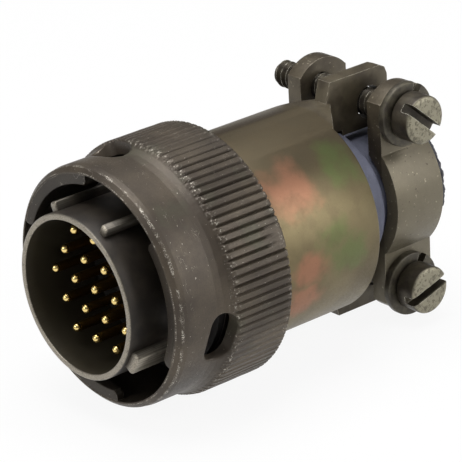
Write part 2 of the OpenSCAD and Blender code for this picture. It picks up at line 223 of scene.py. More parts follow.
def cut(obj, tool, how="DIFFERENCE"):
    """A boolean with another object, which is then deleted."""
    modifier = obj.modifiers.new("cut", "BOOLEAN")
    modifier.operation = how
    modifier.solver = "EXACT"
    modifier.object = tool
    apply_modifiers(obj)
    bpy.data.objects.remove(tool)


def apply_modifiers(obj):
    graph = bpy.context.evaluated_depsgraph_get()
    mesh = bpy.data.meshes.new_from_object(obj.evaluated_get(graph))
    old = obj.data
    obj.modifiers.clear()
    obj.data = mesh
    bpy.data.meshes.remove(old)


def join(name, parts):
    """One object from several."""
    bm = bmesh.new()
    for part in parts:
        bm.from_mesh(part.data)
    mesh = bpy.data.meshes.new(name)
    bm.to_mesh(mesh)
    bm.free()
    for part in parts:
        bpy.data.objects.remove(part)
    obj = bpy.data.objects.new(name, mesh)
    bpy.context.scene.collection.objects.link(obj)
    return obj


def sharpen(obj, degrees=35):
    """Smooth shading that breaks at sharp edges."""
    mesh = obj.data
    mesh.shade_smooth()
    mesh.set_sharp_from_angle(angle=math.radians(degrees))


def soften(name, node, width, segments=3, dissolve=0.6):
    """A copy of a CAD node with its sharp edges rounded."""
    mesh = frame["nodes"][node].data.copy()
    mesh.name = name
    obj = bpy.data.objects.new(name, mesh)
    bpy.context.scene.collection.objects.link(obj)
    bm = bmesh.new()
    bm.from_mesh(mesh)
    bmesh.ops.remove_doubles(bm, verts=bm.verts, dist=0.002 * MM)
    bmesh.ops.dissolve_limit(
        bm, angle_limit=math.radians(dissolve), verts=bm.verts, edges=bm.edges, delimit={"NORMAL"}
    )
    bm.to_mesh(mesh)
    bm.free()
    if mesh.attributes.get("custom_normal"):
        mesh.attributes.remove(mesh.attributes["custom_normal"])
    mesh.shade_smooth()
    bevel = obj.modifiers.new("round", "BEVEL")
    bevel.width = width * MM
    bevel.segments = segments
    bevel.limit_method = "ANGLE"
    bevel.angle_limit = math.radians(32)
    bevel.use_clamp_overlap = True
    apply_modifiers(obj)
    sharpen(obj, 40)
    return obj


def place(obj, body, slot, material, *nodes):
    """Gives a finished piece its material and body, and hides the CAD nodes that it stands for; slot is not used.
    """
    obj.data.materials.clear()
    obj.data.materials.append(material)
    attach(obj, body)
    if nodes:
        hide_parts(*nodes)
    return obj


def float_attribute(obj, name, values):
    attribute = obj.data.attributes.new(name, "FLOAT", "POINT")
    attribute.data.foreach_set("value", np.array(values, np.float32))


def points_of(obj):
    co = np.zeros(len(obj.data.vertices) * 3, np.float32)
    obj.data.vertices.foreach_get("co", co)
    return co.reshape(-1, 3) / MM


def smoothstep(low, high, x):
    t = np.clip((np.asarray(x, float) - low) / (high - low), 0, 1)
    return t * t * (3 - 2 * t)


# ---- Material helpers ----


class Surface:
    """A node material. Texture coordinates are the piece's own, in millimetres."""

    def __init__(self, name):
        self.material = bpy.data.materials.new(name)
        self.material.use_nodes = True
        self.tree = self.material.node_tree
        self.tree.nodes.clear()
        self.out = self.tree.nodes.new("ShaderNodeOutputMaterial")
        self.bsdf = self.tree.nodes.new("ShaderNodeBsdfPrincipled")
        self.link(self.bsdf.outputs[0], self.out.inputs[0])
        coordinates = self.tree.nodes.new("ShaderNodeTexCoord").outputs["Object"]
        self.mm = self.vector("MULTIPLY", coordinates, (1 / MM, 1 / MM, 1 / MM))

    def link(self, a, b):
        self.tree.links.new(a, b)

    def feed(self, socket, value):
        if isinstance(value, bpy.types.NodeSocket):
            self.link(value, socket)
        else:
            if not isinstance(value, (int, float)) and len(socket.default_value) == 4 and len(value) == 3:
                value = (*value, 1)
            socket.default_value = value

    def vector(self, how, a, b):
        node = self.tree.nodes.new("ShaderNodeVectorMath")
        node.operation = how
        self.feed(node.inputs[0], a)
        self.feed(node.inputs[1], b)
        return node.outputs["Value"] if how == "DOT_PRODUCT" else node.outputs[0]

    def math(self, how, a, b=0.0, clamp=False):
        node = self.tree.nodes.new("ShaderNodeMath")
        node.operation = how
        node.use_clamp = clamp
        self.feed(node.inputs[0], a)
        self.feed(node.inputs[1], b)
        return node.outputs[0]

    def noise(self, scale, detail=3.0, stretch=(1, 1, 1), offset=(0, 0, 0), rough=0.55):
        """Noise from 0 to 1; scale is features per millimetre."""
        node = self.tree.nodes.new("ShaderNodeTexNoise")
        node.inputs["Scale"].default_value = scale
        node.inputs["Detail"].default_value = detail
        node.inputs["Roughness"].default_value = rough
        where = self.mm
        if stretch != (1, 1, 1):
            where = self.vector("MULTIPLY", where, stretch)
        if offset != (0, 0, 0):
            where = self.vector("ADD", where, offset)
        self.link(where, node.inputs["Vector"])
        return node.outputs[0]

    def cells(self, scale, offset=(0, 0, 0)):
        """Distance to scattered points; scale is features per millimetre."""
        node = self.tree.nodes.new("ShaderNodeTexVoronoi")
        node.inputs["Scale"].default_value = scale
        where = self.vector("ADD", self.mm, offset)
        self.link(where, node.inputs["Vector"])
        return node.outputs["Distance"]

    def band(self, value, low, high, to_low=0.0, to_high=1.0, smooth=True):
        node = self.tree.nodes.new("ShaderNodeMapRange")
        node.interpolation_type = "SMOOTHSTEP" if smooth else "LINEAR"
        self.feed(node.inputs["Value"], value)
        node.inputs["From Min"].default_value = low
        node.inputs["From Max"].default_value = high
        node.inputs["To Min"].default_value = to_low
        node.inputs["To Max"].default_value = to_high
        return node.outputs["Result"]

    def mix(self, factor, a, b):
        node = self.tree.nodes.new("ShaderNodeMix")
        node.data_type = "RGBA"
        self.feed(node.inputs["Factor"], factor)
        self.feed(node.inputs[6], a)
        self.feed(node.inputs[7], b)
        return node.outputs[2]

    def part(self, which):
        """One of the coordinates in millimetres."""
        node = self.tree.nodes.new("ShaderNodeSeparateXYZ")
        self.link(self.mm, node.inputs[0])
        return node.outputs["XYZ".index(which)]

    def radius(self):
        """Distance from the connector's axis in millimetres."""
        node = self.tree.nodes.new("ShaderNodeVectorMath")
        node.operation = "LENGTH"
        self.link(self.vector("MULTIPLY", self.mm, (1, 0, 1)), node.inputs[0])
        return node.outputs["Value"]

    def line(self, value, at, width):
        """A thin line where a value passes at."""
        away = self.math("ABSOLUTE", self.math("SUBTRACT", value, at))
        return self.band(away, width, width * 0.3)

    def blob(self, centre, inner, outer, wander=2.0, scale=0.3):
        """A soft patch round a point in millimetres, with a wandering edge."""
        node = self.tree.nodes.new("ShaderNodeVectorMath")
        node.operation = "DISTANCE"
        self.link(self.mm, node.inputs[0])
        node.inputs[1].default_value = centre
        drift = self.band(self.noise(scale, 3, offset=centre), 0.2, 0.8, -wander, wander, smooth=False)
        return self.band(self.math("ADD", node.outputs["Value"], drift), outer, inner)

    def product(self, *values):
        out = values[0]
        for value in values[1:]:
            out = self.math("MULTIPLY", out, value)
        return out

    def most(self, *values):
        out = values[0]
        for value in values[1:]:
            out = self.math("MAXIMUM", out, value)
        return out

    def attribute(self, name):
        node = self.tree.nodes.new("ShaderNodeAttribute")
        node.attribute_name = name
        return node.outputs["Fac"]

    def edges(self, radius):
        """1 where the surface turns sharply within radius millimetres."""
        bevel = self.tree.nodes.new("ShaderNodeBevel")
        bevel.samples = 6
        bevel.inputs["Radius"].default_value = radius * MM
        normal = self.tree.nodes.new("ShaderNodeNewGeometry").outputs["Normal"]
        same = self.vector("DOT_PRODUCT", bevel.outputs[0], normal)
        return self.band(same, 0.995, 0.86)

    def bump(self, height, strength, distance):
        node = self.tree.nodes.new("ShaderNodeBump")
        node.inputs["Strength"].default_value = strength
        node.inputs["Distance"].default_value = distance * MM
        self.link(height, node.inputs["Height"])
        self.link(node.outputs[0], self.bsdf.inputs["Normal"])

    def set(self, **values):
        for name, value in values.items():
            self.feed(self.bsdf.inputs[name.replace("_", " ")], value)
        return self.material


def srgb(r, g, b):
    """A colour as it is seen, 0 to 255, in linear light."""
    return tuple((c / 255 / 12.92) if c <= 10 else ((c / 255 + 0.055) / 1.055) ** 2.4 for c in (r, g, b))


# ---- Materials ----


def ring_material():
    """Dark olive plating, rubbed to bright metal on its edges."""
    s = Surface("ring_plating")
    y, r = s.part("Y"), s.radius()
    base = s.mix(s.band(s.noise(0.16, 3), 0.35, 0.65), srgb(58, 50, 41), srgb(76, 67, 55))
    green = s.band(s.noise(0.22, 3, offset=(7, 3, 1)), 0.55, 0.72, 0, 0.5)
    base = s.mix(green, base, srgb(70, 70, 55))
    grain = s.noise(5.0, 4)
    base = s.mix(s.band(grain, 0.35, 0.7, 0, 0.3), base, srgb(60, 53, 46))
    # Painted shade: the ring's inside surfaces, under 12.5 mm radius, are darkened towards near black.
    base = s.mix(s.product(s.band(r, 12.5, 12.3), 0.55), base, srgb(30, 26, 22))
    patchy = s.band(s.noise(0.9, 4, offset=(2, 9, 4)), 0.42, 0.6)
    fine = s.band(s.noise(8.0, 3, offset=(1, 4, 4)), 0.48, 0.58)
    mouth = s.product(s.most(s.line(r, 13.1, 0.1), s.line(r, 12.62, 0.07)), s.band(y, 3.8, 3.6), patchy, fine, 0.85)
    ends = s.product(s.attribute("wear"), s.band(s.noise(3.8, 3), 0.56, 0.63), 0.9)
    specks = s.product(s.band(s.noise(3.6, 2, offset=(5, 5, 5)), 0.715, 0.75), 0.6)
    scratch = s.product(
        s.line(s.noise(0.5, 1, stretch=(1, 4, 1), offset=(8, 1, 3)), 0.52, 0.004),
        s.band(s.noise(0.45, 2, offset=(3, 3, 9)), 0.56, 0.66),
        0.55,
    )
    lug_edge = s.product(s.edges(0.1), s.band(y, 7.5, 6.5), patchy, 0.5)
    worn = s.most(mouth, ends, specks, scratch, lug_edge)
    colour = s.mix(worn, base, srgb(176, 170, 158))
    rough = s.math("ADD", s.band(grain, 0.3, 0.7, 0.42, 0.55), s.product(worn, -0.12))
    s.bump(s.math("ADD", grain, s.product(s.noise(12, 3), 0.5)), 0.16, 0.03)
    return s.set(Base_Color=colour, Metallic=0.45, Roughness=rough)


def shell_material():
    """The mating barrel: dark plating whose colours also hold painted shade from inside the ring's mouth, bare and
    finely turned at its rim.
    """
    s = Surface("shell_plating")
    tone = s.band(s.noise(0.5, 4), 0.35, 0.65)
    inside = s.band(s.radius(), 8.62, 8.42)
    # Painted shade: the barrel's outside and bore colours are darkened in part for the shade inside the ring's
    # mouth.
    base = s.mix(tone, srgb(34, 29, 24), srgb(48, 42, 35))
    base = s.mix(inside, base, srgb(50, 45, 34))
    bare = s.product(s.attribute("bare"), s.band(s.noise(1.3, 4), 0.3, 0.48, 0.55, 1))
    rub = s.product(s.edges(0.05), s.band(s.noise(1.6, 4), 0.5, 0.62), s.band(s.radius(), 9.2, 9.5), 0.5)
    key_end = s.product(s.edges(0.14), s.band(s.radius(), 9.05, 9.25), s.band(s.part("Y"), 2.2, 1.6), 0.8)
    worn = s.most(bare, rub, key_end)
    turned = s.noise(1.0, 2, stretch=(9, 0.1, 9))
    metal = s.mix(s.band(turned, 0.35, 0.65), srgb(118, 111, 98), srgb(158, 151, 138))
    colour = s.mix(worn, base, metal)
    s.bump(s.noise(6, 4), 0.12, 0.02)
    rough = s.band(worn, 0, 1, 0.46, 0.34)
    return s.set(Base_Color=colour, Metallic=s.band(worn, 0, 1, 0.4, 0.75), Roughness=rough)


ROSE_PATCHES = (
    ((9.0, 22.5, 7.3), 1.0, 4.6), ((11.5, 21.9, -0.9), 0.6, 3.4), ((10.5, 21.9, -4.7), 0.8, 3.2),
)
GREEN_PATCHES = (
    ((8.3, 30.0, 8.0), 0.8, 3.6), ((11.5, 27.9, -0.3), 0.6, 3.2), ((11.4, 26.0, 2.0), 0.6, 3.0),
)


def backshell_material():
    """Olive chromate that shifts to rose near the ring and to green near the clamp."""
    s = Surface("backshell_chromate")
    y, z = s.part("Y"), s.part("Z")
    base = s.mix(s.band(s.noise(0.12, 3), 0.35, 0.65), srgb(94, 84, 60), srgb(112, 101, 74))
    # Painted shade: the upper part of the backshell is darkened with height.
    painted_top_shade = s.band(z, 4, 10.5)
    base = s.mix(s.product(painted_top_shade, 0.85), base, srgb(84, 75, 59))
    rose = s.most(*[s.blob(*patch) for patch in ROSE_PATCHES])
    green = s.most(*[s.blob(*patch) for patch in GREEN_PATCHES])
    colour = s.mix(s.product(rose, 0.75), base, srgb(150, 104, 82))
    colour = s.mix(s.product(green, 0.75), colour, srgb(92, 104, 62))
    veil = s.band(s.noise(0.5, 4, offset=(3, 1, 7)), 0.45, 0.7, 0, 0.35)
    colour = s.mix(veil, colour, srgb(92, 80, 60))
    along = s.product(s.band(y, 19.5, 21), s.band(y, 31.5, 30))
    strip = s.product(s.line(s.part("X"), -1.6, 1.3), s.band(z, 9, 10.5), along, 0.6)
    colour = s.mix(strip, colour, srgb(66, 55, 44))
    post = s.band(y, 32.2, 32.9)
    olive = s.mix(s.band(s.noise(0.5, 4), 0.35, 0.65), srgb(66, 58, 45), srgb(84, 76, 60))
    colour = s.mix(post, colour, olive)
    pits = s.band(s.noise(2.6, 2, offset=(9, 2, 2)), 0.735, 0.76, 0, 0.8)
    colour = s.mix(pits, colour, srgb(62, 50, 40))
    edge = s.product(s.edges(0.1), s.band(s.noise(1.3, 4), 0.42, 0.56), 0.8)
    colour = s.mix(edge, colour, srgb(188, 182, 164))
    grain = s.noise(4.5, 5)
    s.bump(s.math("SUBTRACT", grain, s.product(pits, 2.0)), 0.12, 0.03)
    return s.set(
        Base_Color=colour,
        Metallic=s.band(y, 32.2, 32.9, 0.8, 0.45),
        Roughness=s.band(grain, 0.3, 0.7, 0.4, 0.5),
    )


def clamp_material():
    """The saddles: dark brown-olive above and paler below as painted light, paler also on the ears' outer faces,
    and rubbed at the edges.
    """
    s = Surface("clamp_chromate")
    z = s.part("Z")
    base = s.mix(s.band(s.noise(0.35, 4), 0.35, 0.65), srgb(66, 58, 46), srgb(86, 78, 63))
    # Painted light: the lower part of the saddles is made paler and the upper part left darker.
    painted_light_below = s.product(s.band(z, 6, -5), s.band(s.noise(0.3, 3, offset=(6, 1, 1)), 0.3, 0.6, 0.4, 1))
    base = s.mix(s.product(painted_light_below, 0.7), base, srgb(110, 104, 88))
    face = s.band(s.part("X"), ear_face_x - 0.12, ear_face_x - 0.02)
    base = s.mix(s.product(face, 0.6), base, srgb(108, 101, 84))
    spots = s.band(s.noise(2.4, 3, offset=(3, 3, 8)), 0.66, 0.71, 0, 0.6)
    colour = s.mix(spots, base, srgb(160, 153, 132))
    dark = s.band(s.noise(2.0, 3, offset=(1, 8, 3)), 0.66, 0.71, 0, 0.7)
    colour = s.mix(dark, colour, srgb(54, 46, 36))
    rub = s.product(s.edges(0.12), s.band(s.noise(1.5, 4), 0.44, 0.58), 0.85)
    colour = s.mix(rub, colour, srgb(190, 184, 166))
    grain = s.noise(5, 5)
    s.bump(grain, 0.2, 0.04)
    return s.set(Base_Color=colour, Metallic=0.5, Roughness=s.band(grain, 0.3, 0.7, 0.38, 0.5))


def screw_material():
    """Dark plating, rubbed pale and speckled on the heads' end faces and thread crests."""
    s = Surface("screw_plating")
    x = s.part("X")
    base = s.mix(s.band(s.noise(0.9, 4), 0.35, 0.65), srgb(54, 48, 40), srgb(72, 66, 54))
    face = s.product(s.band(x, head_face_x - 0.3, head_face_x - 0.08), s.band(s.noise(1.6, 4), 0.3, 0.5, 0.5, 1))
    colour = s.mix(s.product(face, 0.9), base, srgb(136, 131, 112))
    specks = s.band(s.noise(2.6, 4, offset=(4, 4, 1)), 0.5, 0.62, 0, 0.75)
    colour = s.mix(s.product(specks, face), colour, srgb(72, 66, 54))
    rub = s.product(s.edges(0.1), s.band(s.noise(1.9, 4), 0.4, 0.54))
    colour = s.mix(rub, colour, srgb(206, 202, 186))
    grain = s.noise(7, 4)
    s.bump(s.math("ADD", grain, s.product(specks, -0.5)), 0.25, 0.02)
    return s.set(Base_Color=colour, Metallic=0.55, Roughness=s.band(grain, 0.3, 0.7, 0.36, 0.5))


def washer_material():
    s = Surface("washer_plating")
    base = s.mix(s.band(s.noise(1.1, 4), 0.35, 0.65), srgb(58, 53, 44), srgb(80, 75, 62))
    rub = s.product(s.edges(0.1), s.band(s.noise(1.7, 4), 0.42, 0.56))
    colour = s.mix(rub, base, srgb(180, 175, 158))
    grain = s.noise(7, 4)
    s.bump(grain, 0.2, 0.02)
    return s.set(Base_Color=colour, Metallic=0.5, Roughness=s.band(grain, 0.3, 0.7, 0.38, 0.5))


def gold_material():
    """Gold plating: a painted highlight makes the tips bright and painted shade makes the shanks darker."""
    s = Surface("contact_gold")
    # Painted highlight on the tips and painted shade on the shanks: both are the same gold plating.
    tip = s.band(s.part("Y"), 3.1, 2.75)
    shank = s.mix(s.band(s.noise(1.2, 3, stretch=(1, 0.3, 1)), 0.3, 0.7), srgb(120, 92, 40), srgb(150, 120, 58))
    colour = s.mix(tip, shank, srgb(240, 212, 140))
    s.bump(s.noise(9, 2), 0.02, 0.01)
    return s.set(Base_Color=colour, Metallic=1.0, Roughness=s.band(tip, 0, 1, 0.36, 0.2))


def plain_material(name, low, high, rough, metallic=0.0, scale=1.0, strength=0.3):
    s = Surface(name)
    tone = s.band(s.noise(scale, 4), 0.3, 0.7)
    s.bump(s.noise(scale * 6, 4), strength, 0.03)
    return s.set(
        Base_Color=s.mix(tone, low, high),
        Metallic=metallic,
        Roughness=s.band(tone, 0, 1, rough - 0.06, rough + 0.06),
    )


def bushing_material():
    s = Surface("bushing_rubber")
    tone = s.band(s.noise(0.6, 4), 0.3, 0.7)
    dust = s.band(s.noise(2.8, 5, offset=(2, 2, 2)), 0.56, 0.72, 0, 0.35)
    colour = s.mix(tone, srgb(62, 64, 78), srgb(80, 82, 97))
    colour = s.mix(dust, colour, srgb(100, 100, 110))
    lip = s.band(s.part("Y"), 45.0, 45.4)
    colour = s.mix(s.product(lip, 0.8), colour, srgb(40, 38, 40))
    s.bump(s.noise(3.5, 6), 0.35, 0.06)
    return s.set(Base_Color=colour, Roughness=s.band(tone, 0, 1, 0.62, 0.8))


ear_face_x = washer_low[0]
head_face_x = screw_high[0]
ring_finish = ring_material()
shell_finish = shell_material()
back_finish = backshell_material()
clamp_finish = clamp_material()
screw_finish = screw_material()
washer_finish = washer_material()
gold_finish = gold_material()
bushing_finish = bushing_material()
insert_finish = plain_material("insert_plastic", srgb(18, 17, 15), srgb(26, 24, 21), 0.5, scale=2.0)
seal_finish = plain_material("seal_rubber", srgb(24, 22, 20), srgb(36, 33, 30), 0.7, scale=1.5)
spring_finish = plain_material("spring_steel", srgb(140, 138, 132), srgb(168, 166, 160), 0.35, 1.0, 1.2)


# ---- Coupling ring ----

flute_step = 360 / FLUTES
flute_marks = (-0.5, -0.36, -0.24, -0.2, -0.13, 0.0, 0.13, 0.2, 0.24, 0.36)
flute_half = 0.21
chance = random.Random(7)
flute_tone = [chance.uniform(0.85, 1.12) for _ in range(FLUTES)]
ridge_lift = [chance.uniform(-0.035, 0.0) for _ in range(FLUTES)]
blank_theta, blank_half, blank_y = 22.5, 5.2, 15.7


def flute_push(theta, y, r):
    """The knurl: narrow grooves between broad ridges, on the outside only."""
    if r < RING_R + 0.1 or y < KNURL_Y - 1.2:
        return r
    place_in = (math.degrees(theta) - FLUTE_PHASE) / flute_step
    k = math.floor(place_in + 0.5)
    d = abs(place_in - k)
    groove = max(0.0, 1 - d / flute_half)
    groove = groove * (2 - groove) if groove < 0.5 else 0.75 + (groove - 0.5) * 0.5
    wobble = 0.08 * noise.noise(Vector((k * 3.1, y * 0.4, 0)))
    start = smoothstep(KNURL_Y - 0.45, KNURL_Y + 0.35, y + 2 * wobble)
    degrees = (math.degrees(theta) + 180) % 360 - 180
    blank = smoothstep(blank_half + 1, blank_half - 1, abs(degrees - blank_theta)) * smoothstep(
        blank_y - 0.3, blank_y + 0.3, y
    )
    depth = FLUTE_DEPTH * flute_tone[k % FLUTES] * float(start) * (1 - float(blank))
    ridge = round(place_in - 0.5)
    lift = ridge_lift[ridge % FLUTES] * float(smoothstep(KNURL_Y - 0.5, KNURL_Y, y)) * smoothstep(0.2, 0.5, d)
    return r - depth * groove + float(lift) + 0.02 * noise.noise(Vector((k * 1.7, y * 0.7, 5)))


def outer_radius(y):
    """The ring's outside at station y, before the knurl."""
    table = [
        (MOUTH_Y, 12.62), (3.43, 13.1), (4.15, RING_R), (8.0, RING_R), (8.8, 13.34),
        (9.5, 13.6), (9.95, 13.95), (10.4, KNURL_R), (17.35, KNURL_R), (RING_END_Y, 13.7),
    ]
    return float(np.interp(y, [t[0] for t in table], [t[1] for t in table]))


def window_cutter(name, clock):
    """A kidney-shaped plug whose sides flare where they meet the ring's outside."""
    lobes = ((1.26, 8.76), (-1.34, 8.32))
    lobe_r = 1.53
    axis = np.array(lobes[0]) - np.array(lobes[1])
    lean = math.atan2(axis[1], axis[0])

    def outline(grow):
        points = []
        for lobe, start in ((lobes[0], lean - math.pi / 2), (lobes[1], lean + math.pi / 2)):
            for k in range(17):
                a = start + math.pi * k / 16
                points.append((lobe[0] + (lobe_r + grow) * math.cos(a), lobe[1] + (lobe_r + grow) * math.sin(a)))
        return points

    rings = []
    for grow, rise in ((0, -4.0), (0, -0.22), (0.03, -0.12), (0.09, -0.045), (0.2, 0.0), (0.4, 0.08), (0.4, 1.5)):
        ring = []
        for s, y in outline(grow):
            theta = math.radians(clock) + s / RING_R
            r = outer_radius(y) + rise
            ring.append((r * math.cos(theta), y, r * math.sin(theta)))
        rings.append(ring)
    return loft(name, rings)


def lug_solid(name, clock):
    """One bayonet lug: an arc inside the mouth with a climbing hidden face."""
    rings = []
    half = LUG_ARC / 2
    steps = 44
    for k in range(steps + 1):
        w = k / steps
        a = -half + LUG_ARC * w
        inset = 0.0
        end = min(w, 1 - w) * math.radians(LUG_ARC) * LUG_R
        if end < 0.45:
            inset = 0.45 - math.sqrt(max(0, 0.45**2 - (0.45 - end) ** 2))
        theta = math.radians(clock + a)
        depth = 3.6 + (0.9 - 3.6) * w
        front = MOUTH_Y + 0.05
        section = fillet(
            [
                (front, CHAMBER_R + 0.25, 0),
                (front + 0.0, LUG_R + inset, 0.14),
                (front + depth, LUG_R + inset, 0.14),
                (front + depth, CHAMBER_R + 0.25, 0),
            ],
            3,
        )
        rings.append([(r * math.cos(theta), y, r * math.sin(theta)) for y, r in section])
    return loft(name, rings)


def build_ring():
    outline = fillet(
        [
            (MOUTH_Y, CHAMBER_R, 0.1), (MOUTH_Y, 12.62, 0.14), (3.43, 13.1, 0.25), (4.15, RING_R, 0.9),
            (8.0, RING_R, 0.9), (8.8, 13.34, 0.9), (9.5, 13.6, 0.7), (9.95, 13.95, 0.12),
            (10.4, KNURL_R, 0.1), (17.35, KNURL_R, 0.16), (RING_END_Y, 13.7, 0.12),
            (RING_END_Y, FLANGE_R, 0.1), (FLANGE_Y, FLANGE_R, 0), (FLANGE_Y, 11.8, 0.3), (12.98, CHAMBER_R, 0.3),
        ],
        4,
    )
    outline = subdivide(outline, 0.55)
    turns = []
    for k in range(FLUTES):
        turns += [math.radians(FLUTE_PHASE + flute_step * (k + m)) for m in flute_marks]
    ring = lathe("coupling_ring_dressed", outline, turns, flute_push)
    for k in range(3):
        cut(ring, window_cutter(f"window_{k}", WINDOW_CLOCK + 120 * k))
    lugs = [lug_solid(f"lug_{k}", LUG_CLOCK + 120 * k) for k in range(3)]
    ring = join("coupling_ring_dressed", [ring] + lugs)
    sharpen(ring, 38)
    co = points_of(ring)
    r = np.hypot(co[:, 0], co[:, 2])
    tips = np.exp(-(((co[:, 1] - KNURL_Y) / 0.35) ** 2)) * smoothstep(KNURL_R - 0.3, KNURL_R - 0.05, r)
    rear = smoothstep(RING_END_Y - 0.7, RING_END_Y - 0.3, co[:, 1]) * smoothstep(13.7, 14.0, r) * 0.6
    float_attribute(ring, "wear", np.clip(tips + rear, 0, 1))
    return place(ring, "ring", "ring_plate", ring_finish, "coupling_ring")


build_ring()


# ---- Plug shell ----

KEYS = ((-33, 2.5, 0.65), (62, 0.95, 0.85), (112, 0.95, 0.85), (187, 0.95, 0.85), (222, 0.95, 0.85))


def key_solid(name, clock, width, start):
    """A polarising key: a rounded rib on the barrel."""
    section = fillet([(-width / 2, 8.7, 0), (-width / 2, KEY_R, 0.18), (width / 2, KEY_R, 0.18), (width / 2, 8.7, 0)], 4)
    rings = []
    end_y = SHOULDER_Y - 0.85
    for y, drop in ((start, 0.3), (start + 0.04, 0.16), (start + 0.12, 0.06), (start + 0.26, 0.0), (end_y, 0.0)):
        ring = []
        for t, r in section:
            shrink = 1 - drop / width
            x, z = (r - drop if r > 9.2 else r), t * shrink
            a = math.radians(clock)
            ring.append((x * math.cos(a) - z * math.sin(a), y, x * math.sin(a) + z * math.cos(a)))
        rings.append(ring)
    return loft(name, rings)


def build_shell():
    outline = fillet(
        [
            (0, BARREL_BORE_R, 0.12), (0, BARREL_R, 0.2), (SHOULDER_Y, BARREL_R, 0.1),
            (SHOULDER_Y, SHOULDER_R, 0.1), (12.2, SHOULDER_R, 0.1), (12.2, JOURNAL_R, 0),
            (17.73, JOURNAL_R, 0), (17.73, 9.59, 0), (18.56, 9.59, 0), (18.56, JOURNAL_R, 0),
            (18.8, JOURNAL_R, 0), (19.03, 9.74, 0), (shell_high[1] - 0.4, 9.74, 0), (shell_high[1], 9.34, 0),
            (shell_high[1], 8.89, 0), (12.5, 8.89, 0), (12.5, BARREL_BORE_R, 0),
        ],
        4,
    )
    body = lathe("plug_shell_dressed", subdivide(outline, 1.5), 240)
    keys = [key_solid(f"key_{k}", *key) for k, key in enumerate(KEYS)]
    shell = join("plug_shell_dressed", [body] + keys)
    sharpen(shell, 38)
    co = points_of(shell)
    r = np.hypot(co[:, 0], co[:, 2])
    rim = smoothstep(0.14, 0.02, co[:, 1])
    key_ends = smoothstep(1.2, 0.95, co[:, 1]) * smoothstep(9.1, 9.2, r) * smoothstep(0.3, 0.5, co[:, 1])
    float_attribute(shell, "bare", np.clip(rim + key_ends, 0, 1))
    return place(shell, "plug", "shell_plate", shell_finish, "plug_shell")


build_shell()


# ---- Contacts ----


def build_contacts():
    tip_y = pin_low[1]
    end_y = pin_high[1]
    for k in range(1, 20):
        node = f"contact_pin_{k:02d}"
        low, high = node_box(node)
        x, z = (low[0] + high[0]) / 2, (low[2] + high[2]) / 2
        nose = [
            (tip_y + PIN_R * (1 - math.cos(a)), PIN_R * math.sin(a))
            for a in (math.radians(d) for d in (10, 25, 40, 55, 70, 82, 90))
        ]
        outline = nose + [
            (8.85, PIN_R), (8.85, 0.708), (13.7, 0.708), (13.73, 0.9), (13.76, 0.928), (14.7, 0.928), (14.73, 0.9), (14.73, 0.788),
            (end_y - 0.05, 0.788), (end_y, 0.74), (end_y, 0.588), (end_y - 4.5, 0.588), (end_y - 4.5, 0.02),
            (end_y - 5, 0.02),
        ]
        steps = 28
        vertices = [(x, tip_y, z)]
        for y, r in outline:
            vertices += [(x + r * math.cos(TAU * j / steps), y, z + r * math.sin(TAU * j / steps)) for j in range(steps)]
        faces = [(0, 1 + j, 1 + (j + 1) % steps) for j in range(steps)]
        for i in range(len(outline) - 1):
            a, b = 1 + i * steps, 1 + (i + 1) * steps
            faces += [(a + j, a + (j + 1) % steps, b + (j + 1) % steps, b + j) for j in range(steps)]
        last = 1 + (len(outline) - 1) * steps
        faces.append(tuple(last + j for j in range(steps)))
        pin = make_object(f"contact_dressed_{k:02d}", vertices, faces)
        sharpen(pin, 50)
        place(pin, "plug", "contact_gold", gold_finish, node)


build_contacts()


# ---- Backshell ----


def build_backshell():
    shell = soften("backshell_dressed", "backshell", 0.12, 3)
    return place(shell, "plug", "backshell_plate", back_finish, "backshell")


build_backshell()


# ---- Cable bushing ----


def build_bushing():
    head_y = bush_low[1]
    end_y = bush_high[1]
    lip_y = plain_high[1] + 0.25
    neck_end = BACK_END_Y + 4.6
    grip_r = 6.25
    outline = fillet(
        [
            (head_y, 5.0, 0), (head_y, 9.36, 0.3), (head_y + 2.4, 9.36, 0.1), (head_y + 2.4, NECK_R, 0),
            (neck_end - 0.1, NECK_R, 0.6), (neck_end, grip_r, 0.3), (lip_y, grip_r, 0.1), (lip_y, 7.6, 0.2),
            (lip_y + 0.5, 7.7, 0.2), (end_y, 7.3, 0.25), (end_y, 4.8, 0.3), (end_y - 0.4, 4.4, 0.2),
            (head_y + 0.6, 4.4, 0),
        ],
        3,
    )

    def ragged(theta, y, r):
        if y < lip_y - 0.1 or r < 6.5:
            return r
        wave = noise.fractal(Vector((6 * math.cos(theta), 6 * math.sin(theta), y * 0.8)), 0.6, 2.2, 5)
        return r - 0.16 + 0.32 * max(-0.8, min(0.5, wave)) * (1 if r > 7 else 0.5)

    bushing = lathe("cable_bushing_dressed", subdivide(outline, 0.35), 360, ragged)
    sharpen(bushing, 50)
    return place(bushing, "plug", "bushing_rubber", bushing_finish, "cable_bushing")


build_bushing()


# ---- Cable clamp ----


def build_saddles():
    plain = soften("saddle_plain_dressed", "saddle_plain", 0.22, 4)
    place(plain, "clamp", "clamp_plate", clamp_finish, "saddle_plain")
    grip = soften("saddle_threaded_dressed", "saddle_threaded", 0.22, 4)
    place(grip, "grip", "clamp_plate", clamp_finish, "saddle_threaded")


build_saddles()


def thread_solid(name, x0, x1, z):
    """A shank along X with a helical thread, run out at its tip."""
    steps = 48
    per_turn = 10
    rows = math.ceil((x1 - x0) / SCREW_LEAD * per_turn)
    depth = 0.42
    rings = []
    for i in range(rows + 1):
        x = x0 + (x1 - x0) * i / rows
        ring = []
        for j in range(steps):
            theta = TAU * j / steps
            turn = ((x - x0) / SCREW_LEAD - j / steps) % 1
            v = abs(turn - 0.5) * 2
            bite = min(1.0, max(0.0, (v - 0.12) / 0.76))
            limit = SCREW_R - 0.5 * max(0.0, 0.5 - (x - x0)) / 0.5
            r = min(SCREW_R - depth * bite, limit)
            ring.append((x, SCREW_Y + r * math.cos(theta), z + r * math.sin(theta)))
        rings.append(ring)
    return loft(name, rings)


